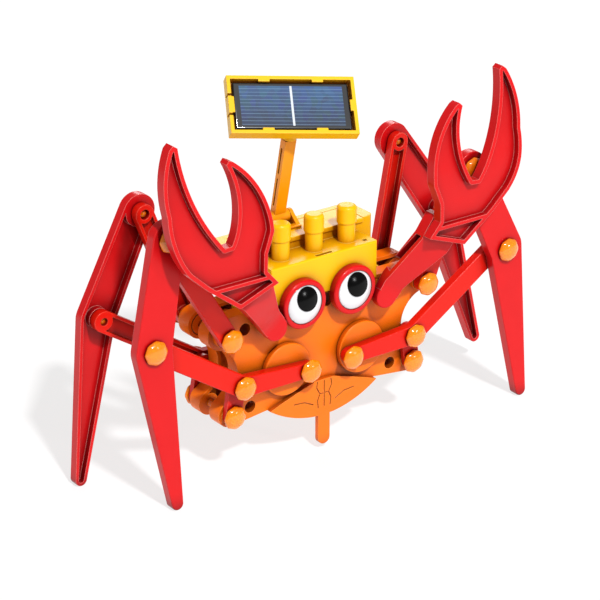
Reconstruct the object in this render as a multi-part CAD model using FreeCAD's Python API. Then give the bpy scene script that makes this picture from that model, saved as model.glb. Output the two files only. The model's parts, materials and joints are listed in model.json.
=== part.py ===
import FreeCAD, Part
import math
import os
from FreeCAD import Vector

# Solar walking crab.  Millimetres, +X out along the right-hand legs, +Z up, and the face
# looks along -Y.  "depth" is a distance out from the middle plane between the two body
# shells: the front set of legs lies at y = -depth and the rear set at y = +depth.
# Every leg is drawn on the right-hand side with x outwards and mirrored where it belongs.

# ---- linkage (one leg), in the plane of the shells ----
crank_centre = (18.7, 41.1)
lower_pivot = (45.3, 27.7)
upper_pivot = (48.9, 63.3)
crank_radius = 8.1
arm_inner_length = 32.3
arm_outer_length = 53.4
arm_bend = math.radians(31.2)
lower_rocker_length = 13.9
upper_rocker_length = 51.2
long_rocker_length = 60.4
leg_upper_length = 45.1
leg_lower_length = 68.8
leg_bend = math.radians(-17.5)

# crank angles at rest: three legs stand, the rear right one is in mid-step
standing_guess = math.radians(174.0)
lifted_crank_angle = math.radians(220.0)

# ---- layers, as depths from the middle plane ----
shell_inner, shell_plate, shell_outer = 3.5, 8.4, 10.4
disc_layer = (10.7, 13.2)
arm_layer = (13.6, 17.4)
leg_layer = (17.8, 22.2)

# ---- pins and knobs ----
pin_radius = 1.6
shell_pin_length = 13.0
pin_set_back = 1.3
running_gap = 0.05
open_gap = 0.45
knob_radius = 5.1
knob_height = 3.2
knob_crown = 2.0
knob_foot = 0.6
knob_gap = 0.2
boss_radius = 4.4
lower_boss_radius = 3.9
shoulder_boss_radius = 4.6
boss_gap = 0.15

# ---- links ----
arm_radius = 4.4
arm_tip_radius = 3.3
rocker_radius = 4.1
lower_rocker_radius = 3.9
knee_radius = 7.2
mid_radius = 8.2
foot_radius = 2.6
link_wall = 1.4
link_web = 1.5
edge_round = 0.5

# ---- drive train ----
module = 0.85
pressure_angle = math.radians(25.0)
crank_teeth = 22
wheel_teeth = 36
pinion_teeth = 10
tooth_backlash = 0.10
shaft_radius = 1.5
axle_radius = 1.2
crank_gear_layer = (-6.2, -3.7)
wheel_layer = (-3.0, -0.9)
motor_gear_layer = (-0.2, 1.9)
disc_radius = 11.3
motor_radius = 7.8
motor_shaft_radius = 0.8
motor_span = (2.7, 14.5)
motor_cradle_span = (4.0, 12.0)
motor_cradle_gap = 0.05
pinion_relief_radius = 5.5
pinion_relief_gap = 0.5

# ---- body shells and housing ----
wall = 1.6
ear_radius = 6.4
lower_ear_radius = 5.4
spacer_radius = 1.9
spacer_upper, spacer_lower = (32.5, 54.0), (27.5, 30.5)
shell_top = 70.0
side_hole = (37.6, 62.9)
low_hole = (35.4, 28.3)
side_hole_radius = 2.6
socket_wall = 1.2
flap_tip_half_width = 4.1
peg_half_width = 2.9
peg_tip_height = 2.2
brow_hole = (2.6, 65.4)
brow_hole_radius = 3.0
flap_layer = (shell_outer, 12.6)
groove_depth = 0.45
groove_half_width = 0.28
deck_half_width = 26.3
deck_front, deck_back = -13.0, 0.5
deck_height = 86.3
block_half_width = 34.5
block_back = 17.5
block_height = 91.5
block_corner, deck_corner = 2.4, 0.8
seat_height = 89.5
ledge = 1.2
lid_half_width = 29.0
lid_back_margin = 3.0
lid_overhang = 0.8
lid_gap = 0.15
tongue_inner, tongue_bottom, tongue_half_depth = 30.0, 65.0, 3.2
deck_marks = [((-3.5, 4.5), (-12.0, -10.4), 3.0), ((21.4, 23.4), (-10.4, -8.4), 3.0),
              ((6.4, 8.2), (-1.7, 0.7), 0.6)]
post_base = 85.8
post_spacing = 16.4
post_y = -5.2
post_radius = 3.6
post_height = 8.6
cap_radius = 4.1
cap_height = 7.4

# ---- eyes ----
eye_spacing = 25.0
eye_height = 69.2
eye_ring_radius = 10.5
eye_ring_span = (13.0, 16.8)
eye_white_radius = 8.2
eye_white_bulge = 2.6
pupil_radius = 4.9
pupil_rise = 3.0

# ---- claws ----
shoulder = (27.6, 63.2)
shoulder_radius = 5.2
wrist = (46.5, 87.2)
tab_layer = (14.6, 18.4)
claw_layer = (28.8, 33.2)
claw_bend_start = 106.0
claw_bend_radius = 60.0
claw_bend_angle = math.radians(11.0)
wrist_offset = (1.5, 4.0)
stub_depth = 3.4
claw_rim = 1.7
claw_recess = 2.8
claw_rib = (6.1, 7.6)
stub_radius = 2.3
arm_claw_gap = 0.25
arm_thickness = 5.6
arm_overrun = 4.6
arm_root_half_width = 5.4
arm_half_width = 8.2
arm_floor = 5.4

# ---- mast and solar panel ----
hinge = Vector(-4.0, 14.3, 94.8)
hinge_pin_radius = 1.2
cheek_thickness = 1.8
cheek_gap = 0.2
barrel_radius = 2.9
barrel_half_length = 4.8
mast_lean = math.radians(12.7)
mast_width, mast_depth = 5.4, 3.4
mast_top = 37.0
swivel_pin_radius = 1.5
panel_width, panel_height, panel_depth = 52.0, 25.0, 5.2
panel_tilt = 43.1
panel_swivel = -23.5
panel_reach = 44.9
panel_offset = 5.0
tray_wall = 1.5
tray_floor = 1.4
clip_thickness = 1.1
hub_radius = 2.9
cell_margin = 2.3
cell_thickness = 2.5


# ---------------------------------------------------------------- plain geometry

def point(x, z, depth):
    return Vector(x, -depth, z)


def toward(start, end, length):
    """The point at a length from start on the way to end."""
    full = math.dist(start, end)
    return (start[0] + (end[0] - start[0]) * length / full,
            start[1] + (end[1] - start[1]) * length / full)


def turn(start, through, angle, length):
    """From through, carry on from start, turned by angle, for length."""
    heading = math.atan2(through[1] - start[1], through[0] - start[0]) + angle
    return (through[0] + length * math.cos(heading), through[1] + length * math.sin(heading))


def circle_crossing(first, first_radius, second, second_radius):
    """Where two circles cross, on the left of the way from first to second."""
    gap = math.dist(first, second)
    along = (first_radius ** 2 - second_radius ** 2 + gap ** 2) / (2 * gap)
    across = math.sqrt(first_radius ** 2 - along ** 2)
    ux, uz = (second[0] - first[0]) / gap, (second[1] - first[1]) / gap
    return (first[0] + ux * along - uz * across, first[1] + uz * along + ux * across)


def leg_joints(crank_angle, rocker_length):
    """All the joint centres of one leg for a crank angle."""
    crank_pin = (crank_centre[0] + crank_radius * math.cos(crank_angle),
                 crank_centre[1] + crank_radius * math.sin(crank_angle))
    bend = circle_crossing(crank_pin, arm_inner_length, lower_pivot, lower_rocker_length)
    middle = turn(crank_pin, bend, arm_bend, arm_outer_length)
    knee = circle_crossing(upper_pivot, rocker_length, middle, leg_upper_length)
    foot = turn(knee, middle, leg_bend, leg_lower_length)
    return {"crank_pin": crank_pin, "bend": bend, "middle": middle, "knee": knee, "foot": foot}


def standing_crank_angle(rocker_length):
    """The crank angle near the guess at which the round foot just meets the ground."""
    low, high = standing_guess - math.radians(15), standing_guess + math.radians(25)
    for _ in range(50):
        half = (low + high) / 2
        if leg_joints(half, rocker_length)["foot"][1] < foot_radius:
            low = half
        else:
            high = half
    return (low + high) / 2


def outline(start, *steps):
    """A closed outline of (x, z) points: a step is a point, or a point on an arc and its end."""
    edges = []
    here = start
    for step in list(steps) + [start]:
        if isinstance(step[0], tuple):
            via, end = step
            edges.append(Part.Arc(point(*here, 0), point(*via, 0), point(*end, 0)).toShape())
        else:
            end = step
            if math.dist(here, end) > 1e-6:
                edges.append(Part.LineSegment(point(*here, 0), point(*end, 0)).toShape())
        here = end
    return Part.Wire(edges)


def slab(wire, layer):
    """The outline made solid between two depths."""
    near, far = layer
    solid = Part.Face(wire).extrude(Vector(0, -(far - near), 0))
    solid.translate(Vector(0, -near, 0))
    return solid


def disc(centre, radius, layer):
    near, far = layer
    return Part.makeCylinder(radius, far - near, point(*centre, near), Vector(0, -1, 0))


def pill(first, first_radius, second, second_radius):
    """The outline around two circles and their outer tangents."""
    gap = math.dist(first, second)
    heading = math.atan2(second[1] - first[1], second[0] - first[0])
    lean = math.acos((first_radius - second_radius) / gap)

    def rim(centre, radius, angle):
        return (centre[0] + radius * math.cos(angle), centre[1] + radius * math.sin(angle))

    return outline(rim(first, first_radius, heading + lean),
                   (rim(first, first_radius, heading + math.pi),
                    rim(first, first_radius, heading - lean)),
                   rim(second, second_radius, heading - lean),
                   (rim(second, second_radius, heading),
                    rim(second, second_radius, heading + lean)))


def box(x, y, z):
    """A box from (low, high) pairs."""
    return Part.makeBox(x[1] - x[0], y[1] - y[0], z[1] - z[0], Vector(x[0], y[0], z[0]))


def join(shapes):
    return shapes[0].fuse(shapes[1:]).removeSplitter()


def round_face_edges(shape, depth, radius):
    """Round the edges that lie wholly at one depth."""
    edges = [e for e in shape.Edges
             if abs(e.BoundBox.YMin + depth) < 1e-4 and abs(e.BoundBox.YMax + depth) < 1e-4]
    return shape.makeFillet(radius, edges)


def mirror_to(shape, side, row):
    """Carry a right-hand front shape to its side (+1 right) and row (+1 front)."""
    if side < 0:
        shape = shape.mirror(Vector(0, 0, 0), Vector(1, 0, 0))
    if row < 0:
        shape = shape.mirror(Vector(0, 0, 0), Vector(0, 1, 0))
    return shape


# ---------------------------------------------------------------- pins, links and legs

def knob(centre, depth):
    """The rounded head of a push-in pin, its back at a depth."""
    head = disc(centre, knob_radius, (depth, depth + knob_height))
    head = round_face_edges(head, depth + knob_height, knob_crown)
    return round_face_edges(head, depth, knob_foot)


def pin(centre, start, head_depth):
    """A push-in pin: shaft from a start depth, knob head at its outer end."""
    return join([disc(centre, pin_radius, (start, head_depth + 0.5)), knob(centre, head_depth)])


def channel(spans, layer, bosses, holes):
    """A bar of one or more tapered spans, hollow on its inner face, with round bosses.

    A span is (first, radius, second, radius); a hole is (centre, radius).
    """
    near, far = layer
    solid = join([slab(pill(*span), layer) for span in spans])
    solid = round_face_edges(solid, far, edge_round)
    pockets = [slab(pill(a, ra - link_wall, b, rb - link_wall), (near, far - link_web))
               for a, ra, b, rb in spans]
    solid = solid.cut(join(pockets))
    solid = join([solid] + [disc(c, r, (near, far - link_web / 2)) for c, r in bosses])
    for centre, radius in holes:
        solid = solid.cut(disc(centre, radius, (near - 1, far + 1)))
    return solid


def make_leg(j):
    spans = [(j["knee"], knee_radius, j["middle"], mid_radius),
             (j["middle"], mid_radius, j["foot"], foot_radius)]
    bosses = [(j["knee"], knee_radius - 1.0), (j["middle"], boss_radius)]
    holes = [(j["knee"], pin_radius), (j["middle"], pin_radius + running_gap)]
    return channel(spans, leg_layer, bosses, holes)


def make_connecting_arm(j):
    spans = [(j["crank_pin"], arm_tip_radius, j["bend"], arm_radius),
             (j["bend"], arm_radius, j["middle"], arm_radius)]
    bosses = [(j["crank_pin"], arm_tip_radius - 0.4), (j["bend"], arm_radius - 0.4),
              (j["middle"], arm_radius - 0.4)]
    holes = [(j["crank_pin"], pin_radius + open_gap), (j["bend"], pin_radius),
             (j["middle"], pin_radius)]
    return channel(spans, arm_layer, bosses, holes)


def make_upper_rocker(j):
    spans = [(upper_pivot, rocker_radius, j["knee"], rocker_radius)]
    bosses = [(upper_pivot, rocker_radius - 0.4), (j["knee"], rocker_radius - 0.4)]
    holes = [(upper_pivot, pin_radius + running_gap), (j["knee"], pin_radius + open_gap)]
    return channel(spans, arm_layer, bosses, holes)


def make_lower_rocker(j):
    solid = slab(pill(lower_pivot, lower_rocker_radius, j["bend"], lower_rocker_radius), disc_layer)
    for centre in (lower_pivot, j["bend"]):
        solid = solid.cut(disc(centre, pin_radius + running_gap, (disc_layer[0] - 1, disc_layer[1] + 1)))
    return solid


def make_arm_pins(j):
    bend_pin = pin(j["bend"], disc_layer[0] + 0.2, arm_layer[1] + knob_gap)
    middle_pin = pin(j["middle"], arm_layer[0] + pin_set_back, leg_layer[1] + knob_gap)
    return [bend_pin, middle_pin]


def make_knee_pin(j):
    return [pin(j["knee"], arm_layer[0] + pin_set_back, leg_layer[1] + knob_gap)]


# ---------------------------------------------------------------- body shells

def shell_edge(front):
    """Half outlines of a shell, joined: ears at the pivots, waisted between them."""
    ux, uz = upper_pivot
    lx, lz = lower_pivot
    right = [(27.0, shell_top), (47.6, uz + ear_radius),
             ((ux + ear_radius, uz), (ux + 1.5, uz - 6.2)),
             ((41.2, 45.2), (lx + 3.2, lz + 4.3)),
             ((lx + lower_ear_radius, lz - 0.4), (lx - 0.9, lz - lower_ear_radius)),
             (27.0, 24.3)]
    if front:
        right += [((13.4, 17.6), (flap_tip_half_width, 15.7)), (0.0, 15.7)]
    else:
        right += [((14.0, 21.6), (0.0, 21.0))]

    def flip(p):
        return (-p[0], p[1])

    steps = list(right)
    here = [(0.0, shell_top)] + [s[1] if isinstance(s[0], tuple) else s for s in right]
    for index in range(len(right) - 1, -1, -1):
        end = flip(here[index])
        step = right[index]
        steps.append((flip(step[0]), end) if isinstance(step[0], tuple) else end)
    return outline((0.0, shell_top), *steps[:-1])


def make_shell(front):
    """One body shell: a front plate, a side wall, ear bosses and the spare sockets."""
    edge = shell_edge(front)
    solid = slab(edge, (shell_inner, shell_outer))
    inner = edge.makeOffset2D(-wall)
    solid = solid.cut(slab(inner, (shell_inner - 1, shell_plate)))
    extras = []
    for side in (1, -1):
        upper = (side * upper_pivot[0], upper_pivot[1])
        lower = (side * lower_pivot[0], lower_pivot[1])
        extras.append(disc(upper, boss_radius, (shell_inner, arm_layer[0] - boss_gap)))
        extras.append(disc(lower, lower_boss_radius, (shell_inner, disc_layer[0] - boss_gap)))
        for hole in (side_hole, low_hole):
            extras.append(disc((side * hole[0], hole[1]), side_hole_radius + socket_wall,
                               (shell_inner, shell_plate + 0.5)))
        if front:
            extras.append(disc((side * shoulder[0], shoulder[1]), shoulder_boss_radius,
                               (shell_inner + 1, tab_layer[0] - boss_gap)))
    solid = join([solid] + extras)
    for side in (1, -1):
        for pivot in (upper_pivot, lower_pivot):
            solid = solid.cut(disc((side * pivot[0], pivot[1]), pin_radius, (0, 15)))
        for hole in (side_hole, low_hole):
            solid = solid.cut(disc((side * hole[0], hole[1]), side_hole_radius, (0, 15)))
        solid = solid.cut(disc((side * crank_centre[0], crank_centre[1]),
                               shaft_radius + running_gap, (0, 15)))
        if front:
            solid = solid.cut(disc((side * shoulder[0], shoulder[1]),
                                   stub_radius + running_gap, (shell_plate - 1, 20)))
    for centre in gear_axle_centres():
        solid = solid.cut(disc(centre, axle_radius, (shell_inner, shell_plate + 0.8)))
    if front:
        return solid.cut(disc(brow_hole, brow_hole_radius, (0, 15)))
    return mirror_to(solid, 1, -1)


def make_tail_flap():
    """The folded tail: a plate on the front shell below a ridge line, its grooves and the rest peg."""
    ridge = [(-27.5, 24.0), (-21.8, 26.2), (-12.0, 29.4), (-4.5, 31.6), (4.5, 31.6), (12.0, 29.4),
             (21.8, 26.2), (27.5, 24.0)]
    below = outline(*ridge, (27.5, 0.0), (-27.5, 0.0))
    plate = slab(shell_edge(True), flap_layer).common(slab(below, flap_layer))
    low = (0.0, peg_tip_height + peg_half_width)
    peg = slab(pill(low, peg_half_width, (0.0, 18.0), peg_half_width * 0.999), flap_layer)
    face = flap_layer[1]

    def grooves(path):
        return [slab(pill(start, groove_half_width, end, groove_half_width * 0.999),
                     (face - groove_depth, face + 1)) for start, end in zip(path, path[1:])]

    tools = grooves([(-2.2, 25.4), (2.2, 25.4)]) + grooves([(0.0, 31.0), (0.0, 19.5)])
    for side in (1, -1):
        tools += grooves([(side * 3.4, 31.0), (side * 3.8, 28.4), (side * 2.2, 25.4), (side * 3.4, 22.6),
                          (side * 3.0, 19.2)])
        tools += grooves([(side * 5.6, 21.4), (side * 10.0, 23.6), (side * 15.0, 24.0)])
    return join([plate, peg]).cut(join(tools))


def make_shell_spacers():
    """Four turned spacers that hold the two shells apart, each with a screw head each end."""
    spacers = []
    for side in (1, -1):
        for out, height in (spacer_upper, spacer_lower):
            centre = (side * out, height)
            spacers.append(Part.makeCylinder(spacer_radius, 2 * shell_plate, point(*centre, -shell_plate),
                                             Vector(0, -1, 0)))
    return spacers


# ---------------------------------------------------------------- drive train

def gear(teeth, layer, centre, phase):
    """A spur gear on the Y axis; phase is the angle of one tooth's middle."""
    pitch = module * teeth / 2
    base = pitch * math.cos(pressure_angle)
    tip = pitch + 0.72 * module
    root = pitch - 0.95 * module
    half_pitch = math.pi / (2 * teeth) - tooth_backlash / (2 * pitch)
    spread = math.tan(pressure_angle) - pressure_angle

    def flank(radius):
        if radius <= base:
            return half_pitch + spread
        bend = math.acos(base / radius)
        return half_pitch + spread - (math.tan(bend) - bend)

    levels = [root, max(base, root + 0.05), pitch, (pitch + tip) / 2, tip]
    step = 2 * math.pi / teeth
    corners = []
    for index in range(teeth):
        middle = phase + index * step
        corners += [(r, middle - flank(r)) for r in levels]
        corners += [(r, middle + flank(r)) for r in reversed(levels)]
    ring = [Vector(r * math.cos(a), 0, r * math.sin(a)) for r, a in corners]
    wire = Part.makePolygon(ring + [ring[0]])
    solid = Part.Face(wire).extrude(Vector(0, layer[1] - layer[0], 0))
    solid.translate(Vector(centre[0], layer[0], centre[1]))
    return solid


def bore(solid, centre, radius):
    return solid.cut(Part.makeCylinder(radius, 60, Vector(centre[0], -30, centre[1]), Vector(0, 1, 0)))


def gear_axle_centres():
    """Centre gear and reduction gear, one above the other."""
    first = crank_centre[1]
    step = module * (wheel_teeth + pinion_teeth) / 2
    return [(0.0, first), (0.0, first + step)]


def motor_centre():
    middle = gear_axle_centres()[1]
    return (middle[0], middle[1] + module * (wheel_teeth + pinion_teeth) / 2)


def make_crank_gear(side):
    centre = (side * crank_centre[0], crank_centre[1])
    return bore(gear(crank_teeth, crank_gear_layer, centre, 0.0), centre, shaft_radius)


def make_centre_gear():
    centre = gear_axle_centres()[0]
    small = gear(crank_teeth, crank_gear_layer, centre, math.pi / crank_teeth)
    hub = Part.makeCylinder(4.0, 2.0, Vector(centre[0], crank_gear_layer[1] - 0.5, centre[1]),
                            Vector(0, 1, 0))
    large = gear(wheel_teeth, wheel_layer, centre, math.pi / 2)
    return bore(join([small, hub, large]), centre, axle_radius + running_gap)


def make_reduction_gear():
    centre = gear_axle_centres()[1]
    small = gear(pinion_teeth, wheel_layer, centre, -math.pi / 2 + math.pi / pinion_teeth)
    hub = Part.makeCylinder(2.4, 1.5, Vector(centre[0], wheel_layer[1] - 0.3, centre[1]), Vector(0, 1, 0))
    large = gear(wheel_teeth, motor_gear_layer, centre, math.pi / 2)
    return bore(join([small, hub, large]), centre, axle_radius + running_gap)


def make_motor_pinion():
    centre = motor_centre()
    return bore(gear(pinion_teeth, motor_gear_layer, centre, -math.pi / 2 + math.pi / pinion_teeth),
                centre, motor_shaft_radius)


def make_motor_shaft():
    centre = motor_centre()
    return Part.makeCylinder(motor_shaft_radius, motor_span[0] + 1.5 - motor_gear_layer[0],
                             Vector(centre[0], motor_gear_layer[0], centre[1]), Vector(0, 1, 0))


def make_motor():
    """A flat can motor with a nose boss, open down the middle for its shaft."""
    centre = motor_centre()
    can = Part.makeCylinder(motor_radius, motor_span[1] - motor_span[0],
                            Vector(centre[0], motor_span[0], centre[1]), Vector(0, 1, 0))
    can = can.makeFillet(0.8, can.Edges)
    hole = Part.makeCylinder(motor_shaft_radius + running_gap, 2.0,
                             Vector(centre[0], motor_span[0] - 0.1, centre[1]), Vector(0, 1, 0))
    return can.cut(hole)


def make_gear_axles():
    return [Part.makeCylinder(axle_radius, 2 * (shell_plate + 0.8), point(*c, -shell_plate - 0.8),
                              Vector(0, -1, 0)) for c in gear_axle_centres()]


def make_crank_shaft(side):
    reach = disc_layer[1] - 0.5
    return Part.makeCylinder(shaft_radius, 2 * reach, point(side * crank_centre[0], crank_centre[1], -reach),
                             Vector(0, -1, 0))


def make_crank_discs(side, pins):
    """Front and rear discs of one shaft, each with a raised rim and a hub."""
    centre = (side * crank_centre[0], crank_centre[1])
    made = []
    for row in (1, -1):
        plate = disc(centre, disc_radius, disc_layer)
        plate = round_face_edges(plate, disc_layer[1], 0.6)
        plate = plate.cut(disc(centre, shaft_radius, (0, disc_layer[1] - 0.5)))
        plate = plate.cut(disc(pins[row], pin_radius, (0, 20)))
        made.append(mirror_to(plate, 1, row))
    return made


def make_crank_pins(pins):
    return [mirror_to(pin(pins[row], disc_layer[0] + 0.1, arm_layer[1] + knob_gap), 1, row)
            for row in (1, -1)]


# ---------------------------------------------------------------- housing, posts and eyes

def make_housing():
    """The top housing: a low deck in front and a wider, taller block behind, open below."""
    front = box((-deck_half_width, deck_half_width), (deck_front, deck_back + 1), (shell_top, deck_height))
    back = box((-block_half_width, block_half_width), (deck_back, block_back), (shell_top, block_height))
    back = back.makeFillet(block_corner, [e for e in back.Edges if e.BoundBox.ZLength > 10])
    front = front.makeFillet(deck_corner, [e for e in front.Edges if e.BoundBox.YMax < deck_front + 0.1])
    solid = join([front, back])
    inside = join([box((-deck_half_width + wall, deck_half_width - wall),
                       (deck_front + wall, deck_back + 4), (shell_top - 1, deck_height - wall)),
                   box((-block_half_width + wall, block_half_width - wall),
                       (deck_back + wall, block_back - wall), (shell_top - 1, seat_height - ledge))])
    seat = box((-lid_half_width, lid_half_width), (deck_back - 1, block_back - lid_back_margin),
               (seat_height, block_height + 1))
    solid = solid.cut(inside).cut(seat)
    posts = [Part.makeCylinder(post_radius, post_height, Vector(i * post_spacing, post_y, post_base))
             for i in (-1, 0, 1)]
    tongues = []
    for low, high in ((-block_half_width, -tongue_inner), (tongue_inner, block_half_width)):
        tongues.append(box((low, high), (-tongue_half_depth, tongue_half_depth), (tongue_bottom, shell_top)))
        tongues.append(box((low, high), (deck_back, tongue_half_depth), (shell_top - 1, shell_top + 2)))
    x, z = motor_centre()
    low, high = motor_gear_layer
    relief = Part.makeCylinder(pinion_relief_radius, high - low + 2 * pinion_relief_gap,
                               Vector(x, low - pinion_relief_gap, z), Vector(0, 1, 0))
    solid = join([solid.cut(relief), motor_cradle()] + posts + tongues)
    for x, y, depth in deck_marks:
        solid = solid.cut(box(x, y, (deck_height - depth, deck_height + 1)))
    return solid


def motor_cradle():
    """The half ring under the lid's seat that the motor is pushed up into."""
    x, z = motor_centre()
    near, far = motor_cradle_span
    ring = Part.makeCylinder(motor_radius + 1.4, far - near, Vector(x, near, z), Vector(0, 1, 0))
    ring = ring.cut(Part.makeCylinder(motor_radius + motor_cradle_gap, far - near + 2, Vector(x, near - 1, z),
                                     Vector(0, 1, 0)))
    return ring.common(box((x - 20, x + 20), (near - 1, far + 1), (z, seat_height)))


def make_lid():
    """The slab that closes the block; it overhangs the deck a little at the front."""
    slab_box = box((-lid_half_width + lid_gap, lid_half_width - lid_gap),
                   (deck_back - lid_overhang, block_back - lid_back_margin - lid_gap),
                   (seat_height, block_height))
    return slab_box.makeFillet(0.35, [e for e in slab_box.Edges if e.BoundBox.ZMin > block_height - 0.1])


def make_post_caps():
    caps = []
    for i in (-1, 0, 1):
        base = Vector(i * post_spacing, post_y, post_base + post_height)
        cap = Part.makeCylinder(cap_radius, cap_height, base)
        cap = cap.makeFillet(1.5, [e for e in cap.Edges if e.BoundBox.ZMin > base.z + cap_height - 0.1])
        caps.append(cap)
    return caps


def eye_parts(side):
    centre = (side * eye_spacing / 2, eye_height)
    near, far = eye_ring_span
    ring = disc(centre, eye_ring_radius, eye_ring_span)
    ring = round_face_edges(ring, far, 1.0)
    ring = ring.cut(disc(centre, eye_white_radius + 0.1, (near + 1.2, far + 1)))
    ball_radius = (eye_white_radius ** 2 + eye_white_bulge ** 2) / (2 * eye_white_bulge)
    ball_centre = point(*centre, far - 0.4 + eye_white_bulge - ball_radius)
    core = disc(centre, eye_white_radius, (near + 1.2, far + 6))
    white = core.common(Part.makeSphere(ball_radius, ball_centre))
    iris = disc((centre[0], centre[1] + pupil_rise), pupil_radius, (near, far + 6))
    skin = Part.makeSphere(ball_radius + 0.35, ball_centre).cut(Part.makeSphere(ball_radius, ball_centre))
    pupil = iris.common(skin)
    pupil = max(pupil.Solids, key=lambda s: -s.CenterOfMass.y)
    return ring, white, pupil


# ---------------------------------------------------------------- claws

def claw_outline(inset):
    """The pincer's edge about its wrist: thick thumb inside, long curved finger outside."""
    wire = outline((-9.3, 3.6), (8.8, -2.9), (23.5, 8.2), (31.5, 15.6),
                   ((37.4, 26.0), (39.0, 40.0)), ((38.8, 53.4), (34.6, 64.8)),
                   (32.8, 66.2), (31.0, 65.0),
                   ((27.2, 44.6), (15.4, 23.6)), (12.2, 23.8),
                   ((7.6, 38.4), (10.6, 54.4)), (9.2, 55.8), (7.4, 55.0),
                   ((-3.4, 42.4), (-7.4, 25.4)), (-4.2, 17.0), (-4.0, 9.6))
    wire.translate(Vector(wrist[0], 0, wrist[1]))
    return wire if inset == 0 else wire.makeOffset2D(-inset)


def claw_band(layer):
    """The space between two depths of the claw, upright at the wrist and bent back above."""
    near, far = layer
    axis_y, start = claw_bend_radius - claw_layer[0], claw_bend_start
    half, full = claw_bend_angle / 2, claw_bend_angle

    def on_bend(depth, angle, beyond=0.0):
        radius = axis_y + depth
        return Vector(0, axis_y - radius * math.cos(angle) + beyond * math.sin(angle),
                      start + radius * math.sin(angle) + beyond * math.cos(angle))

    edges = []
    for depth in (near, far):
        foot, first = Vector(0, -depth, wrist[1] - 20), Vector(0, -depth, start)
        edges.append([Part.LineSegment(foot, first).toShape(),
                      Part.Arc(first, on_bend(depth, half), on_bend(depth, full)).toShape(),
                      Part.LineSegment(on_bend(depth, full), on_bend(depth, full, 70)).toShape()])
    ends = [Part.LineSegment(on_bend(near, full, 70), on_bend(far, full, 70)).toShape(),
            Part.LineSegment(Vector(0, -near, wrist[1] - 20), Vector(0, -far, wrist[1] - 20)).toShape()]
    wire = Part.Wire(Part.__sortEdges__(edges[0] + edges[1] + ends))
    return Part.Face(wire).extrude(Vector(wrist[0] + 60, 0, 0))


def make_claw(side):
    near, far = claw_layer
    block = (0, far + 20)
    solid = slab(claw_outline(0), block).common(claw_band(claw_layer))
    low, high = claw_rib
    rib = box((0, 120), (-60, 0), (wrist[1] + low, wrist[1] + high))
    recess = slab(claw_outline(claw_rim), block).common(claw_band((far - claw_recess, far + 3))).cut(rib)
    stub = disc(wrist_pivot(), stub_radius, (near - stub_depth, near + 0.5))
    return mirror_to(join([solid.cut(recess), stub]), side, 1)


def wrist_pivot():
    return (wrist[0] + wrist_offset[0], wrist[1] + wrist_offset[1])


def make_claw_arm(side):
    """The bent arm: a round tab on the body and a trough that slopes forward to the claw."""
    pivot = wrist_pivot()
    run = math.dist(shoulder, pivot)
    heading = math.degrees(math.atan2(pivot[1] - shoulder[1], pivot[0] - shoulder[0]))
    near, far = tab_layer
    front = claw_layer[0] - arm_claw_gap
    tip, back = run + arm_overrun, front - arm_thickness
    side_shape = [Vector(1.0, -far, 0), Vector(5.5, -far - 0.2, 0), Vector(run - 8.0, -front, 0),
                  Vector(tip, -front, 0), Vector(tip, -back, 0),
                  Vector(run - 6.0, -back, 0), Vector(8.0, -near, 0), Vector(1.0, -near, 0)]
    body = Part.Face(Part.makePolygon(side_shape + [side_shape[0]])).extrude(Vector(0, 0, 30))
    body.translate(Vector(0, 0, -15))
    half_plan = [(0.0, shoulder_radius), (8.0, arm_root_half_width), (run - 6.0, arm_half_width),
                 (tip - 1.6, arm_half_width), (tip, arm_half_width - 1.6)]
    corners = [Vector(x, 0, -z) for x, z in half_plan] + [Vector(x, 0, z) for x, z in reversed(half_plan)]
    top_view = Part.makePolygon(corners + [corners[0]])
    taper = Part.Face(top_view).extrude(Vector(0, -60, 0))
    body = body.common(taper)
    trough = [Vector(9.5, -far + 0.2, 0), Vector(run - 7.0, -front + 1.4, 0),
              Vector(run - 7.0, -front + 4.4, 0), Vector(11.0, -near - 0.6, 0)]
    hollow = Part.Face(Part.makePolygon(trough + [trough[0]])).extrude(Vector(0, 0, 20))
    hollow.translate(Vector(0, 0, -arm_floor))
    body = body.cut(hollow)
    body.rotate(Vector(0, 0, 0), Vector(0, -1, 0), heading)
    body.translate(Vector(shoulder[0], 0, shoulder[1]))
    tab = round_face_edges(disc(shoulder, shoulder_radius, tab_layer), far, 0.6)
    stub = disc(shoulder, stub_radius, (shell_plate + 0.2, near + 0.5))
    solid = join([body, tab, stub])
    solid = solid.cut(disc(pivot, stub_radius + running_gap, (claw_layer[0] - 3.7, claw_layer[0] + 1)))
    return mirror_to(solid, side, 1)


# ---------------------------------------------------------------- mast and panel

def mast_frame(shape):
    """Stand a shape drawn upright at the origin on the hinge and lean it forward."""
    shape.rotate(Vector(0, 0, 0), Vector(1, 0, 0), math.degrees(mast_lean))
    shape.translate(hinge)
    return shape


def along_mast(distance):
    return hinge + Vector(0, -math.sin(mast_lean), math.cos(mast_lean)) * distance


def make_mast():
    """A slotted channel post between the hinge barrel and the swivel pin."""
    w, d = mast_width / 2, mast_depth / 2
    post = box((-w, w), (-d, d), (1.0, mast_top))
    back = box((-w + 1.1, w - 1.1), (-d + 1.1, d + 1), (barrel_radius + 2, mast_top - 3))
    post = post.cut(back)
    half = (barrel_radius + mast_top) / 2
    for low, high in ((barrel_radius + 3, half - 1.2), (half + 1.2, mast_top - 4)):
        post = post.cut(box((-w - 1, w + 1), (-0.1, 0.7), (low, high)))
    barrel = Part.makeCylinder(barrel_radius, 2 * barrel_half_length, Vector(-barrel_half_length, 0, 0),
                               Vector(1, 0, 0))
    barrel = barrel.makeFillet(0.4, barrel.Edges)
    swivel = Part.makeCylinder(swivel_pin_radius, 6.0, Vector(0, 0, mast_top - 0.5))
    solid = join([post, barrel, swivel])
    solid = solid.cut(Part.makeCylinder(hinge_pin_radius + running_gap, 30, Vector(-15, 0, 0),
                                        Vector(1, 0, 0)))
    return mast_frame(solid)


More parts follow.
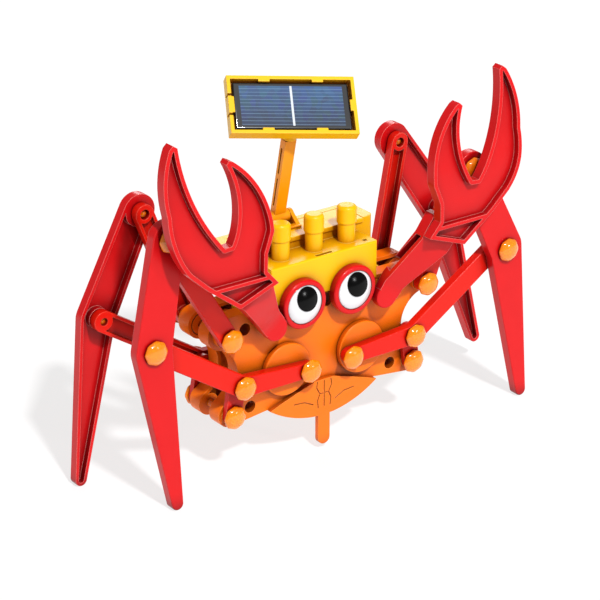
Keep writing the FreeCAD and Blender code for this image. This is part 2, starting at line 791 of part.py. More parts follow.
def make_hinge_pin():
    reach = barrel_half_length + cheek_gap + cheek_thickness
    return Part.makeCylinder(hinge_pin_radius, 2 * reach, hinge - Vector(reach, 0, 0), Vector(1, 0, 0))


def make_mast_bracket():
    """Two sloping cheeks on a foot plate, either side of the barrel."""
    y, z = hinge.y, hinge.z
    base = block_height
    cheek = Part.Wire([Part.LineSegment(Vector(0, y - 7.6, base), Vector(0, y + 2.2, base)).toShape(),
                       Part.LineSegment(Vector(0, y + 2.2, base), Vector(0, y + 2.6, z)).toShape(),
                       Part.Arc(Vector(0, y + 2.6, z), Vector(0, y, z + 2.6),
                                Vector(0, y - 2.2, z + 1.4)).toShape(),
                       Part.LineSegment(Vector(0, y - 2.2, z + 1.4), Vector(0, y - 7.6, base)).toShape()])
    plates = []
    for side in (1, -1):
        plate = Part.Face(cheek).extrude(Vector(side * cheek_thickness, 0, 0))
        plate.translate(Vector(hinge.x + side * (barrel_half_length + cheek_gap), 0, 0))
        plates.append(plate)
    reach = barrel_half_length + cheek_gap + cheek_thickness
    foot = box((hinge.x - reach, hinge.x + reach),
               (y - 7.6, y - 4.4), (base, base + 1.0))
    solid = join(plates + [foot])
    return solid.cut(Part.makeCylinder(hinge_pin_radius, 30, hinge - Vector(15, 0, 0), Vector(1, 0, 0)))


def panel_frame(shape):
    """Carry a shape drawn face-forward about the tray's back centre to its tilted place."""
    axis = along_mast(1) - hinge
    shape.rotate(Vector(0, 0, 0), Vector(1, 0, 0), -panel_tilt)
    shape.translate(along_mast(panel_reach))
    shape.rotate(hinge, axis, panel_swivel)
    return shape


def make_solar_frame():
    """The open tray with its clips, and the hub that turns on the mast."""
    w, h, low = panel_width / 2, panel_height / 2, panel_offset
    tray = box((-w, w), (-panel_depth, 0), (low - h, low + h))
    pocket = box((-w + tray_wall, w - tray_wall), (-panel_depth - 1, -tray_floor),
                 (low - h + tray_wall, low + h - tray_wall))
    tray = tray.cut(pocket)
    gaps = [box((-w - 1, -w + tray_wall + 0.2), (-panel_depth - 1, -tray_floor),
                (low + z - 0.5, low + z + 0.5))
            for z in (-4.2, 4.2)]
    for gap in gaps:
        tray = tray.cut(gap)
    clips = []
    for x in (-10.8, 11.0):
        for z in (low - h, low + h - 2.5):
            clips.append(box((x - 2.3, x + 2.3), (-panel_depth, -panel_depth + clip_thickness), (z, z + 2.5)))
    clips.append(box((w - 2.6, w), (-panel_depth, -panel_depth + clip_thickness), (low - 2.4, low + 2.4)))
    clips.append(box((-w, -w + 2.4), (-panel_depth, -panel_depth + clip_thickness), (low - 3.4, low + 3.4)))
    tray = panel_frame(join([tray] + clips))
    hub = Part.makeCylinder(hub_radius, panel_reach - mast_top + 1.0, Vector(0, 0, mast_top + 0.3))
    hub = mast_frame(hub)
    solid = join([tray, hub])
    limit = panel_frame(box((-w, w), (-30, -tray_floor), (low - h, low + h)))
    solid = solid.cut(limit.common(mast_frame(Part.makeCylinder(3.4, 40, Vector(0, 0, mast_top)))))
    hole = Part.makeCylinder(swivel_pin_radius + running_gap, 6.0, Vector(0, 0, mast_top - 0.2))
    return solid.cut(mast_frame(hole))


def make_solar_cell():
    w, h = panel_width / 2 - cell_margin, panel_height / 2 - cell_margin
    top = -tray_floor - cell_thickness
    cell = box((-w, w), (top, -tray_floor), (panel_offset - h, panel_offset + h))
    cell = cell.makeFillet(0.9, [e for e in cell.Edges if e.BoundBox.YMax < top + 0.1])
    return panel_frame(cell)


# ---------------------------------------------------------------- assembly

LEGS = {"front_left": (-1, 1), "front_right": (1, 1), "rear_left": (-1, -1), "rear_right": (1, -1)}


def leg_pose(name):
    rocker = long_rocker_length if name == "front_left" else upper_rocker_length
    angle = lifted_crank_angle if name == "rear_right" else standing_crank_angle(rocker)
    return angle, rocker


def build_nodes():
    nodes = {}
    crank_pin_points = {1: {}, -1: {}}
    for name, (side, row) in LEGS.items():
        j = leg_joints(*leg_pose(name))
        crank_pin_points[side][row] = (side * j["crank_pin"][0], j["crank_pin"][1])
        pieces = {"leg": [make_leg(j)], "connecting_arm": [make_connecting_arm(j)],
                  "upper_rocker": [make_upper_rocker(j)], "lower_rocker": [make_lower_rocker(j)],
                  "arm_pins": make_arm_pins(j), "knee_pin": make_knee_pin(j)}
        for piece, solids in pieces.items():
            nodes[f"{piece}_{name}"] = [mirror_to(s, side, row) for s in solids]

    for word, side in (("left", -1), ("right", 1)):
        pins = crank_pin_points[side]
        nodes[f"crank_shaft_{word}"] = [make_crank_shaft(side)]
        nodes[f"crank_gear_{word}"] = [make_crank_gear(side)]
        nodes[f"crank_discs_{word}"] = make_crank_discs(side, pins)
        nodes[f"crank_pins_{word}"] = make_crank_pins(pins)
        nodes[f"claw_{word}"] = [make_claw(side)]
        nodes[f"claw_arm_{word}"] = [make_claw_arm(side)]
        ring, white, pupil = eye_parts(side)
        nodes[f"eye_ring_{word}"] = [ring]
        nodes[f"eye_white_{word}"] = [white]
        nodes.setdefault("eye_pupils", []).append(pupil)

    nodes["front_shell"] = [make_shell(True)]
    nodes["rear_shell"] = [make_shell(False)]
    nodes["tail_flap"] = [make_tail_flap()]
    corners = [(side, row) for side in (1, -1) for row in (1, -1)]
    pivots = ((upper_pivot, arm_layer[1] + knob_gap), (lower_pivot, disc_layer[1] + knob_gap))
    nodes["shell_pivot_pins"] = [mirror_to(pin(centre, head - shell_pin_length, head), s, r)
                                 for s, r in corners for centre, head in pivots]
    nodes["shell_spacers"] = make_shell_spacers()
    nodes["housing"] = [make_housing()]
    nodes["housing_lid"] = [make_lid()]
    nodes["post_caps"] = make_post_caps()
    nodes["motor"] = [make_motor()]
    nodes["motor_shaft"] = [make_motor_shaft()]
    nodes["motor_pinion"] = [make_motor_pinion()]
    nodes["reduction_gear"] = [make_reduction_gear()]
    nodes["centre_gear"] = [make_centre_gear()]
    nodes["gear_axles"] = make_gear_axles()
    nodes["mast_bracket"] = [make_mast_bracket()]
    nodes["mast_hinge_pin"] = [make_hinge_pin()]
    nodes["mast"] = [make_mast()]
    nodes["solar_frame"] = [make_solar_frame()]
    nodes["solar_cell"] = [make_solar_cell()]
    return nodes


def centre_shift(nodes):
    """The move that puts the origin under the middle of the overall box, on the ground."""
    whole = Part.makeCompound([s for solids in nodes.values() for s in solids])
    limits = whole.BoundBox
    return Vector(-(limits.XMin + limits.XMax) / 2, -(limits.YMin + limits.YMax) / 2, 0)


def main():
    os.makedirs("parts", exist_ok=True)
    nodes = build_nodes()
    shift = centre_shift(nodes)
    for name, solids in nodes.items():
        shape = solids[0] if len(solids) == 1 else Part.makeCompound(solids)
        shape.translate(shift)
        shape.exportStep(f"parts/{name}.step")
    print(len(nodes), "nodes, origin shift", shift)


main()
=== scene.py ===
import json
import math

import bmesh
import bpy
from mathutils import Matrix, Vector


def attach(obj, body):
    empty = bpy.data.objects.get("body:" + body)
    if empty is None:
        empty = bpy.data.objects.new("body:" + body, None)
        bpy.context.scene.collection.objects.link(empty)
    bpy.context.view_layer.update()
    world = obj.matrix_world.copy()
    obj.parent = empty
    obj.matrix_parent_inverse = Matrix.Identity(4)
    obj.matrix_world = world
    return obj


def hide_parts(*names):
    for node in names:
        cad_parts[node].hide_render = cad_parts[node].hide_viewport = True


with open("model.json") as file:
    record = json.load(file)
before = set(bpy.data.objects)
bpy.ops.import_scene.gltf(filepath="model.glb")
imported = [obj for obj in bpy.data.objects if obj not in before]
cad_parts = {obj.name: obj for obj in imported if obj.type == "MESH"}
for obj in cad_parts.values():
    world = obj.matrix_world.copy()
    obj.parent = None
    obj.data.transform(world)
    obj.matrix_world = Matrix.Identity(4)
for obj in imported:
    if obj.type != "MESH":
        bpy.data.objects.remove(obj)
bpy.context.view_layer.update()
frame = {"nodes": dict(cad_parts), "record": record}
mm = 0.001
weldDistance = 0.002 * mm
white = (1, 1, 1, 1)
print("frame loaded:", len(frame["nodes"]), "nodes")


def linear(hexCode):
    # sRGB hex to the linear colour that a shader takes
    values = [int(hexCode[i:i + 2], 16) / 255 for i in (1, 3, 5)]
    channels = [v / 12.92 if v <= 0.04045 else ((v + 0.055) / 1.055) ** 2.4 for v in values]
    return tuple(channels) + (1.0,)


def addNode(tree, kind, settings=(), links=()):
    # one node, its settings by attribute or by socket, and what feeds its sockets
    node = tree.nodes.new(kind)
    for key, value in dict(settings).items():
        if isinstance(key, str) and hasattr(node, key):
            setattr(node, key, value)
        else:
            node.inputs[key].default_value = value
    for key, source in dict(links).items():
        tree.links.new(source, node.inputs[key])
    return node


def newMaterial(name):
    material = bpy.data.materials.new(name)
    material.use_nodes = True
    material.node_tree.nodes.clear()
    return material, material.node_tree


def finishMaterial(tree, shader):
    addNode(tree, "ShaderNodeOutputMaterial", links={"Surface": shader})


def addObject(name, data):
    thing = bpy.data.objects.new(name, data)
    bpy.context.scene.collection.objects.link(thing)
    return thing


def mouldedPlastic(name, look):
    # Injection-moulded resin: one even colour with a faint flow mottle, a gloss slightly broken by
    # the mould's skin, a paler colour painted on the edges as highlight and painted shade in
    # hollows.
    material, tree = newMaterial(name)
    place = addNode(tree, "ShaderNodeTexCoord").outputs["Object"]
    mottle = addNode(tree, "ShaderNodeTexNoise",
                     {"Scale": 1 / (look["mottleMm"] * mm), "Detail": look["mottleDetail"]},
                     {"Vector": place})
    peel = addNode(tree, "ShaderNodeTexNoise",
                   {"Scale": 1 / (look["peelMm"] * mm), "Detail": look["peelDetail"]},
                   {"Vector": place})
    smear = addNode(tree, "ShaderNodeTexNoise",
                    {"Scale": 1 / (look["smearMm"] * mm), "Detail": look["smearDetail"]},
                    {"Vector": place})
    body = addNode(tree, "ShaderNodeMix",
                   {"data_type": "RGBA", 6: linear(look["deep"]), 7: linear(look["colour"])},
                   {0: mottle.outputs["Fac"]})
    # painted shade: ambient occlusion darkens the colour towards the hollow colour in recesses,
    # creases and between parts
    openness = addNode(tree, "ShaderNodeAmbientOcclusion",
                       {"samples": look["hollowRays"], "Distance": look["hollowMm"] * mm})
    hollow = addNode(tree, "ShaderNodeMapRange",
                     {"From Min": look["hollowFrom"], "From Max": look["hollowFull"],
                      "To Max": look["hollowShare"]},
                     {"Value": openness.outputs["AO"]})
    shaded = addNode(tree, "ShaderNodeMix", {"data_type": "RGBA", 7: linear(look["hollow"])},
                     {0: hollow.outputs["Result"], 6: body.outputs[2]})
    # painted highlight: where the bevel's rounded normal parts from the face normal, the colour
    # pales towards the edge colour; the same rounded normal also rounds the shading of the edges
    softened = addNode(tree, "ShaderNodeBevel",
                       {"samples": look["edgeRays"], "Radius": look["edgeMm"] * mm})
    shape = addNode(tree, "ShaderNodeNewGeometry")
    facing = addNode(tree, "ShaderNodeVectorMath", {"operation": "DOT_PRODUCT"},
                     {0: softened.outputs["Normal"], 1: shape.outputs["Normal"]})
    edge = addNode(tree, "ShaderNodeMapRange",
                   {"From Min": look["edgeFrom"], "From Max": look["edgeFull"],
                    "To Max": look["edgeHighlightShare"]},
                   {"Value": facing.outputs["Value"]})
    colour = addNode(tree, "ShaderNodeMix", {"data_type": "RGBA", 7: linear(look["edge"])},
                     {0: edge.outputs["Result"], 6: shaded.outputs[2]})
    rough = addNode(tree, "ShaderNodeMapRange",
                    {"To Min": look["roughness"] - look["roughLess"],
                     "To Max": look["roughness"] + look["roughMore"]},
                    {"Value": smear.outputs["Fac"]})
    bump = addNode(tree, "ShaderNodeBump",
                   {"Strength": look["peelStrength"], "Distance": look["peelDepthMm"] * mm},
                   {"Height": peel.outputs["Fac"], "Normal": softened.outputs["Normal"]})
    shader = addNode(tree, "ShaderNodeBsdfPrincipled",
                     {"IOR": look["ior"], "Coat Weight": look["coat"],
                      "Coat Roughness": look["coatRoughness"],
                      "Subsurface Weight": look["subsurface"], "Subsurface Radius": look["scatter"],
                      "Subsurface Scale": look["scatterMm"] * mm},
                     {"Base Color": colour.outputs[2], "Roughness": rough.outputs["Result"],
                      "Normal": bump.outputs["Normal"]})
    finishMaterial(tree, shader.outputs["BSDF"])
    return material


# the hollow keys set how far and how strongly painted shade darkens recesses; the edge keys set the
# painted edge highlight and the rounding of the shading there
absLook = {"mottleMm": 14, "mottleDetail": 3.0, "peelMm": 0.9, "peelDetail": 1.0, "smearMm": 7,
           "smearDetail": 4.0, "peelStrength": 0.1, "peelDepthMm": 0.04, "ior": 1.36,
           "roughness": 0.3, "roughLess": 0.05, "roughMore": 0.06, "coat": 0.06,
           "coatRoughness": 0.05, "edgeMm": 0.35, "edgeRays": 6, "edgeFrom": 0.995,
           "edgeFull": 0.86, "edgeHighlightShare": 0.65, "hollowMm": 8.0, "hollowRays": 8,
           "hollowFrom": 0.96, "hollowFull": 0.3, "hollowShare": 0.9, "subsurface": 0.0,
           "scatter": (1.0, 0.3, 0.1), "scatterMm": 1.0}
# each colour set also has a paler colour painted along edges as highlight and a darker one painted
# into hollows as shade
plastics = {
    "mouldedAbsRed": {**absLook, "colour": "#DE1216", "deep": "#D20D12", "edge": "#FFA8A0",
                      "hollow": "#620206", "ior": 1.31, "coat": 0.03},
    "mouldedAbsScarlet": {**absLook, "colour": "#E81C08", "deep": "#DC1406", "edge": "#FFA080",
                          "hollow": "#6A0602", "ior": 1.31, "coat": 0.03},
    "mouldedAbsOrange": {**absLook, "colour": "#FF7A04", "deep": "#F87002", "edge": "#FFA64A",
                         "hollow": "#6A2802", "roughness": 0.38, "coat": 0.02},
    "mouldedAbsYellow": {**absLook, "colour": "#FFC800", "deep": "#FFBE00", "edge": "#FFEC70",
                         "hollow": "#9A5400", "roughness": 0.36, "coat": 0.03},
    "mouldedAbsAmber": {**absLook, "colour": "#FBA400", "deep": "#F69A00", "edge": "#FFD870",
                        "hollow": "#8A4400"},
    # clear resin with a strong dye: light passes a little way in, and the gloss is sharp
    "translucentPolycarbonate": {**absLook, "colour": "#FF9408", "deep": "#FA8604",
                                 "edge": "#FFB850", "hollow": "#A03A02", "roughness": 0.14,
                                 "coat": 0.7, "ior": 1.45, "subsurface": 0.3, "scatterMm": 2.0,
                                 "edgeHighlightShare": 0.2},
    "mouldedAbsWhite": {**absLook, "colour": "#F2F4F6", "deep": "#E8EAED", "edge": "#FFFFFF",
                        "hollow": "#70757C", "roughness": 0.2, "coat": 0.4},
    "mouldedAbsBlack": {**absLook, "colour": "#040404", "deep": "#020202", "edge": "#141414",
                        "hollow": "#000000", "roughness": 0.16, "coat": 0.0, "ior": 1.25},
    # a gear resin with a duller, slightly waxy surface
    "mouldedAcetal": {**absLook, "colour": "#ECEAE0", "deep": "#DEDCD0", "edge": "#FFFFFF",
                      "hollow": "#6A6860", "roughness": 0.42, "coat": 0.0},
}


def workedMetal(name, look):
    # Drawn steel and turned brass: bright metal with fine lines, along a drawn rod and round a
    # turned one.
    material, tree = newMaterial(name)
    place = addNode(tree, "ShaderNodeTexCoord").outputs["Object"]
    stretch = addNode(tree, "ShaderNodeMapping", {"Scale": look["stretch"]}, {"Vector": place})
    lines = addNode(tree, "ShaderNodeTexNoise",
                    {"Scale": 1 / (look["lineMm"] * mm), "Detail": look["lineDetail"]},
                    {"Vector": stretch.outputs["Vector"]})
    rough = addNode(tree, "ShaderNodeMapRange",
                    {"To Min": look["roughness"] - look["roughLess"],
                     "To Max": look["roughness"] + look["roughMore"]},
                    {"Value": lines.outputs["Fac"]})
    bump = addNode(tree, "ShaderNodeBump",
                   {"Strength": look["lineStrength"], "Distance": look["lineDepthMm"] * mm},
                   {"Height": lines.outputs["Fac"]})
    shader = addNode(tree, "ShaderNodeBsdfPrincipled",
                     {"Base Color": linear(look["colour"]), "Metallic": 1.0},
                     {"Roughness": rough.outputs["Result"], "Normal": bump.outputs["Normal"]})
    finishMaterial(tree, shader.outputs["BSDF"])
    return material


metalLook = {"lineMm": 0.25, "lineDetail": 2.0, "lineStrength": 0.15, "lineDepthMm": 0.02,
             "roughLess": 0.08, "roughMore": 0.1}
metals = {"drawnSteel": {**metalLook, "colour": "#C9CBCF", "roughness": 0.28,
                         "stretch": (1.0, 0.05, 1.0)},
          "turnedBrass": {**metalLook, "colour": "#D9B36A", "roughness": 0.3,
                          "stretch": (0.05, 1.0, 0.05)}}


def pottedCell(name, look):
    # A silicon wafer potted in clear epoxy: deep blue with painted shade at the bottom and painted
    # light at the top, fine printed silver fingers and one bus bar, a black backing round it, and a
    # wet gloss from the resin on top.  Its UV map is in mm.
    material, tree = newMaterial(name)
    slab = addNode(tree, "ShaderNodeUVMap").outputs["UV"]
    spot = addNode(tree, "ShaderNodeSeparateXYZ", links={"Vector": slab})
    across = addNode(tree, "ShaderNodeMath", {"operation": "ABSOLUTE"}, {0: spot.outputs["X"]})
    along = addNode(tree, "ShaderNodeMath", {"operation": "ABSOLUTE"}, {0: spot.outputs["Y"]})
    inWidth = addNode(tree, "ShaderNodeMath", {"operation": "LESS_THAN", 1: look["halfWidthMm"]},
                      {0: across.outputs["Value"]})
    inHeight = addNode(tree, "ShaderNodeMath", {"operation": "LESS_THAN", 1: look["halfHeightMm"]},
                       {0: along.outputs["Value"]})
    inside = addNode(tree, "ShaderNodeMath", {"operation": "MULTIPLY"},
                     {0: inWidth.outputs["Value"], 1: inHeight.outputs["Value"]})
    raised = addNode(tree, "ShaderNodeMath", {"operation": "ADD", 1: look["liftMm"]},
                     {0: spot.outputs["Y"]})
    step = addNode(tree, "ShaderNodeMath", {"operation": "PINGPONG", 1: look["fingerStepMm"] / 2},
                   {0: raised.outputs["Value"]})
    finger = addNode(tree, "ShaderNodeMath", {"operation": "LESS_THAN", 1: look["fingerMm"] / 2},
                     {0: step.outputs["Value"]})
    bus = addNode(tree, "ShaderNodeMath", {"operation": "LESS_THAN", 1: look["busMm"] / 2},
                  {0: across.outputs["Value"]})
    grain = addNode(tree, "ShaderNodeTexVoronoi", {"Scale": 1 / look["grainMm"]}, {"Vector": slab})
    # painted shade and light: the blue runs from darker at the bottom of the cell to lighter at its
    # top
    tone = addNode(tree, "ShaderNodeMapRange",
                   {"From Min": -look["halfHeightMm"], "From Max": look["halfHeightMm"]},
                   {"Value": spot.outputs["Y"]})
    paintedLightWafer = addNode(tree, "ShaderNodeMix",
                    {"data_type": "RGBA", 6: linear(look["low"]), 7: linear(look["high"])},
                    {0: tone.outputs["Result"]})
    speck = addNode(tree, "ShaderNodeMix",
                    {"data_type": "RGBA", "blend_type": "SOFT_LIGHT", 0: look["grainShare"]},
                    {6: paintedLightWafer.outputs[2], 7: grain.outputs["Color"]})
    faint = addNode(tree, "ShaderNodeMath", {"operation": "MULTIPLY", 1: look["fingerShare"]},
                    {0: finger.outputs["Value"]})
    lined = addNode(tree, "ShaderNodeMix", {"data_type": "RGBA", 7: linear(look["silver"])},
                    {0: faint.outputs["Value"], 6: speck.outputs[2]})
    barred = addNode(tree, "ShaderNodeMix", {"data_type": "RGBA", 7: linear(look["busSilver"])},
                     {0: bus.outputs["Value"], 6: lined.outputs[2]})
    whole = addNode(tree, "ShaderNodeMix", {"data_type": "RGBA", 6: linear(look["backing"])},
                    {0: inside.outputs["Value"], 7: barred.outputs[2]})
    shader = addNode(tree, "ShaderNodeBsdfPrincipled",
                     {"Roughness": look["roughness"], "Coat Weight": look["coat"],
                      "Coat Roughness": look["coatRoughness"], "Coat IOR": look["coatIor"]},
                     {"Base Color": whole.outputs[2]})
    finishMaterial(tree, shader.outputs["BSDF"])
    return material


# liftMm keeps every row's place above zero, so that the fingers repeat evenly; low and high are
# the blues painted in as shade at the cell's bottom and as light at its top
cellLook = {"halfWidthMm": 21.0, "halfHeightMm": 8.6, "fingerStepMm": 1.55, "fingerMm": 0.22,
            "fingerShare": 0.4, "liftMm": 50.0, "busMm": 0.9, "grainMm": 2.5, "grainShare": 0.25,
            "low": "#0C2140", "high": "#265280", "silver": "#86ABCF", "busSilver": "#D8DEE4",
            "backing": "#07090D", "roughness": 0.35, "coat": 0.8, "coatRoughness": 0.04,
            "coatIor": 1.5}
materials = {name: mouldedPlastic(name, look) for name, look in plastics.items()}
materials.update({name: workedMetal(name, look) for name, look in metals.items()})
materials["pottedCell"] = pottedCell("pottedCell", cellLook)
print("materials made:", len(materials))


def camelName(node):
    words = node.split("_")
    return words[0] + "".join(word.capitalize() for word in words[1:])


def bodyOf(node):
    bodies = frame["record"]["behaviour"]["bodies"]
    return next(body for body, members in bodies.items() if node in members)


def dress(piece, materialName, node):
    # its material, the body it rides on, and the frame's node that it stands for
    piece.data.materials.clear()
    piece.data.materials.append(materials[materialName])
    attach(piece, bodyOf(node))
    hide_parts(node)


def smoothFaces(mesh):
    for face in mesh.polygons:
        face.use_smooth = True


def applyModifiers(piece):
    bpy.context.view_layer.update()
    built = piece.evaluated_get(bpy.context.evaluated_depsgraph_get())
    mesh = bpy.data.meshes.new_from_object(built)
    piece.modifiers.clear()
    piece.data = mesh


def rounded(node, materialName, edge):
    # the piece's own shape with flats merged and its moulded edges really rounded
    name = camelName(node)
    mesh = frame["nodes"][node].data.copy()
    mesh.name = name
    work = bmesh.new()
    work.from_mesh(mesh)
    bmesh.ops.remove_doubles(work, verts=work.verts, dist=weldDistance)
    bmesh.ops.dissolve_limit(work, angle_limit=math.radians(edge["mergeDeg"]), verts=work.verts,
                             edges=work.edges)
    work.to_mesh(mesh)
    work.free()
    piece = addObject(name, mesh)
    smoothFaces(mesh)
    bevel = piece.modifiers.new("moulded edge", "BEVEL")
    bevel.width = edge["widthMm"] * mm
    bevel.segments = edge["steps"]
    bevel.limit_method = "ANGLE"
    bevel.angle_limit = math.radians(edge["fromDeg"])
    flat = piece.modifiers.new("flat faces stay flat", "WEIGHTED_NORMAL")
    flat.weight = edge["flatWeight"]
    applyModifiers(piece)
    dress(piece, materialName, node)
    return piece


def looseParts(mesh):
    # the vertices of each separate solid of a mesh, in the mesh's own order
    work = bmesh.new()
    work.from_mesh(mesh)
    bmesh.ops.remove_doubles(work, verts=work.verts, dist=weldDistance)
    work.verts.index_update()
    seen, parts = set(), []
    for seed in work.verts:
        reached, waiting = [], [seed]
        while waiting:
            vert = waiting.pop()
            if vert.index not in seen:
                seen.add(vert.index)
                reached.append(vert.co.copy())
                waiting += [link.other_vert(vert) for link in vert.link_edges]
        if reached:
            parts.append(reached)
    work.free()
    return parts


def pinRings(part, look):
    # the middle of one pin, which way its head points, and its rings as (y, radius, lobe share)
    ys = sorted({round(v.y, 6) for v in part})
    low = Vector((min(v.x for v in part), 0, min(v.z for v in part)))
    high = Vector((max(v.x for v in part), 0, max(v.z for v in part)))
    middle = (low + high) / 2
    spans = [(v.y, math.hypot(v.x - middle.x, v.z - middle.z)) for v in part]
    head = max(span for y, span in spans)
    wide = [y for y, span in spans if span > head * look["rimShare"]]
    outward = 1 if sum(wide) / len(wide) > (ys[0] + ys[-1]) / 2 else -1
    tail, top = (ys[0], ys[-1]) if outward > 0 else (ys[-1], ys[0])
    shaft = max((span for y, span in spans if abs(y - tail) < look["levelMm"] * mm), default=0)
    base = top - outward * look["headMm"] * mm
    rings = [(tail, shaft * look["tipShare"], 0.0),
             (tail + outward * look["tipMm"] * mm, shaft, 0.0),
             (base, shaft, 0.0)]
    rings += [(base + outward * look["headMm"] * mm * rise, head * spread, lobe)
              for rise, spread, lobe in look["profile"]]
    return middle, outward, rings


def knobPins(node, look):
    # push-in pins, each with a lobed dome head inside the plain head of the frame's pin
    verts, faces = [], []
    count = look["sides"]
    for part in looseParts(frame["nodes"][node].data):
        middle, outward, rings = pinRings(part, look)
        start = len(verts)
        for y, radius, lobe in rings:
            for index in range(count):
                angle = 2 * math.pi * index / count
                wave = abs(math.sin(look["lobes"] * angle / 2)) ** look["lobeSharpness"]
                dip = 1 - lobe * look["lobeDepth"] * wave
                verts.append((middle.x + radius * dip * math.cos(angle), y,
                              middle.z + radius * dip * math.sin(angle)))
        for ring in range(len(rings) - 1):
            row, following = start + ring * count, start + (ring + 1) * count
            for index in range(count):
                after = (index + 1) % count
                quad = (row + index, row + after, following + after, following + index)
                faces.append(quad if outward < 0 else quad[::-1])
        first = tuple(range(start, start + count))
        last = tuple(range(len(verts) - count, len(verts)))
        faces += [first[::-1], last] if outward < 0 else [first, last[::-1]]
    name = camelName(node)
    mesh = bpy.data.meshes.new(name)
    mesh.from_pydata(verts, [], faces)
    work = bmesh.new()
    work.from_mesh(mesh)
    bmesh.ops.recalc_face_normals(work, faces=work.faces)
    work.to_mesh(mesh)
    work.free()
    smoothFaces(mesh)
    mesh.set_sharp_from_angle(angle=math.radians(look["sharpDeg"]))
    piece = addObject(name, mesh)
    dress(piece, "translucentPolycarbonate", node)


# profile rows are height up the head, share of its radius, and how far the lobes show
knobLook = {"headMm": 3.2, "tipMm": 0.3, "tipShare": 0.82, "rimShare": 0.95, "levelMm": 0.01,
            "sides": 64, "lobes": 8, "lobeDepth": 0.05, "lobeSharpness": 1.5, "sharpDeg": 60,
            "profile": [(0.02, 0.86, 0.6), (0.1, 0.95, 0.9), (0.2, 1.0, 1.0), (0.32, 0.985, 1.0),
                        (0.46, 0.93, 0.9), (0.6, 0.84, 0.65), (0.73, 0.72, 0.4),
                        (0.83, 0.59, 0.2), (0.91, 0.44, 0.1), (0.96, 0.29, 0.0),
                        (0.99, 0.15, 0.0), (1.0, 0.04, 0.0)]}


def solarCell(node, look):
    # the potted slab with soft resin shoulders; its UV map is in millimetres from the middle
    piece = rounded(node, "pottedCell", look)
    mesh = piece.data
    flat = max(mesh.polygons, key=lambda face: face.area)
    normal = flat.normal.copy()
    points = [mesh.vertices[index].co.copy() for index in flat.vertices]
    runs = [b - a for a, b in zip(points, points[1:] + points[:1])]
    side = max(runs, key=lambda run: run.length).normalized()
    if side.x < 0:
        side = -side
    up = normal.cross(side)
    if up.z < 0:
        up = -up
    centre = sum((v.co for v in mesh.vertices), Vector()) / len(mesh.vertices)
    layer = mesh.uv_layers.new(name="slab")
    for loop in mesh.loops:
        offset = mesh.vertices[loop.vertex_index].co - centre
        layer.data[loop.index].uv = (offset.dot(side) / mm, offset.dot(up) / mm)


edgeLook = {"mergeDeg": 0.6, "widthMm": 0.35, "steps": 2, "fromDeg": 32, "flatWeight": 100}
cellEdge = {**edgeLook, "widthMm": 0.9, "steps": 5}
corners = ["front_left", "front_right", "rear_left", "rear_right"]
sides = ["left", "right"]
linkParts = ("connecting_arm", "upper_rocker", "lower_rocker")
plan = {"mouldedAbsRed": [f"leg_{c}" for c in corners] + [f"claw_{s}" for s in sides]
        + [f"claw_arm_{s}" for s in sides] + [f"eye_ring_{s}" for s in sides],
        "mouldedAbsScarlet": [f"{part}_{c}" for part in linkParts for c in corners],
        "mouldedAbsOrange": ["front_shell", "rear_shell", "tail_flap"]
        + [f"crank_discs_{s}" for s in sides],
        "mouldedAbsYellow": ["housing", "housing_lid", "post_caps", "solar_frame"],
        "mouldedAbsAmber": ["mast", "mast_bracket"],
        "mouldedAbsWhite": [f"eye_white_{s}" for s in sides]}
for materialName, nodes in plan.items():
    for node in nodes:
        rounded(node, materialName, edgeLook)
        print("rounded", node)

pinNodes = (["shell_pivot_pins"] + [f"arm_pins_{c}" for c in corners]
            + [f"knee_pin_{c}" for c in corners] + [f"crank_pins_{s}" for s in sides])
for node in pinNodes:
    knobPins(node, knobLook)
    print("pins", node)
solarCell("solar_cell", cellEdge)

# frame nodes whose shape is right as it is
kept = {"mouldedAbsBlack": ["eye_pupils"],
        "mouldedAcetal": ["centre_gear", "reduction_gear", "crank_gear_left", "crank_gear_right"],
        "drawnSteel": ["crank_shaft_left", "crank_shaft_right", "gear_axles", "motor",
                       "motor_shaft", "mast_hinge_pin", "shell_spacers"],
        "turnedBrass": ["motor_pinion"]}
for materialName, nodes in kept.items():
    for node in nodes:
        mesh = frame["nodes"][node].data
        mesh.materials.clear()
        mesh.materials.append(materials[materialName])
print("pieces made")


viewpoint = {"azimuthDeg": -36.12, "elevationDeg": 23.665, "distance": 1.0434, "lensMm": 154.37,
             "sensorMm": 36.0, "fromCranks": (-0.00304, 0.0, 0.02189)}
joints = {joint["name"]: Vector(joint["pos_m"])
          for joint in frame["record"]["behaviour"]["joints"]}
target = ((joints["crank_spin_left"] + joints["crank_spin_right"]) / 2
          + Vector(viewpoint["fromCranks"]))


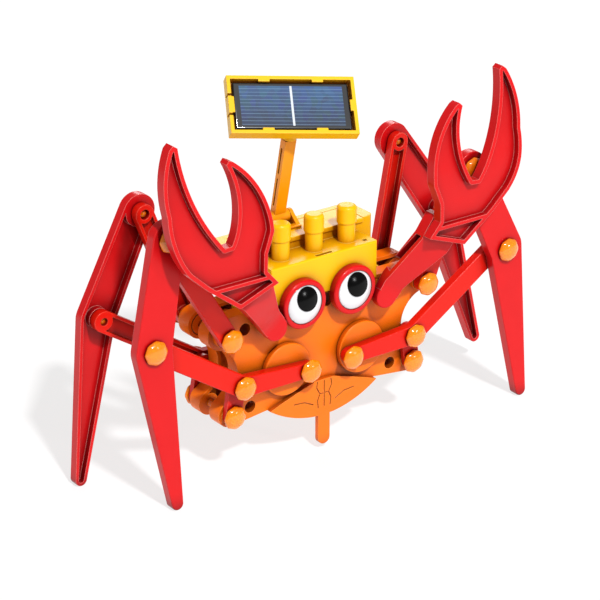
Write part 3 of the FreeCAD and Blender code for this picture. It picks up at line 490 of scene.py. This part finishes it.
def makeFloor(look):
    # matt paint that glows a little, so that it stays pale between soft shadows
    mesh = bpy.data.meshes.new("floor")
    half = look["size"] / 2
    mesh.from_pydata([(-half, -half, 0), (half, -half, 0), (half, half, 0), (-half, half, 0)], [],
                     [(0, 1, 2, 3)])
    floor = addObject("floor", mesh)
    material, tree = newMaterial("paintedFloor")
    shader = addNode(tree, "ShaderNodeBsdfPrincipled",
                     {"Base Color": linear(look["tone"]), "Roughness": look["roughness"],
                      "Specular IOR Level": 0.0, "Emission Color": white,
                      "Emission Strength": look["glow"]})
    finishMaterial(tree, shader.outputs["BSDF"])
    mesh.materials.append(material)


floorLook = {"size": 6.0, "glow": 0.72, "tone": "#949494", "roughness": 0.9}
makeFloor(floorLook)


def makeSun(look):
    data = bpy.data.lights.new("sun", "SUN")
    data.energy = look["strength"]
    data.angle = math.radians(look["softDeg"])
    light = addObject("sun", data)
    light.rotation_euler = Vector(look["along"]).to_track_quat("-Z", "Y").to_euler()


sunLook = {"along": (0.16, 0.87, -1.0), "strength": 2.9, "softDeg": 4.0}
makeSun(sunLook)


def makeCard(name, look):
    # the one behind glosses upward faces, the small one in front puts a glint on domes and eyes
    data = bpy.data.lights.new(name, "AREA")
    data.energy = look["watts"]
    data.size = look["size"]
    light = addObject(name, data)
    light.location = target + Vector(look["toward"]) * look["away"]
    light.rotation_euler = (target - light.location).to_track_quat("-Z", "Y").to_euler()


cards = {"backLight": {"toward": (0.59, 0.81, 0.42), "away": 1.5, "size": 0.5, "watts": 4.5},
         "glintLight": {"toward": (0.36, -0.9, 0.3), "away": 1.2, "size": 0.14, "watts": 1.6}}
for cardName, cardLook in cards.items():
    makeCard(cardName, cardLook)


def makeSky(look):
    world = bpy.data.worlds.new("studio")
    world.use_nodes = True
    background = world.node_tree.nodes["Background"]
    background.inputs["Color"].default_value = look["tone"]
    background.inputs["Strength"].default_value = look["strength"]
    bpy.context.scene.world = world


skyLook = {"tone": white, "strength": 0.3}
makeSky(skyLook)


def makeCamera(look):
    azimuth = math.radians(look["azimuthDeg"])
    elevation = math.radians(look["elevationDeg"])
    away = Vector((math.sin(azimuth) * math.cos(elevation),
                   -math.cos(azimuth) * math.cos(elevation),
                   math.sin(elevation)))
    data = bpy.data.cameras.new("camera")
    data.lens = look["lensMm"]
    data.sensor_width = look["sensorMm"]
    camera = addObject("camera", data)
    camera.location = target + away * look["distance"]
    camera.rotation_euler = (-away).to_track_quat("-Z", "Y").to_euler()
    bpy.context.scene.camera = camera


makeCamera(viewpoint)
bpy.context.scene.view_settings.view_transform = "Standard"
print("studio ready")
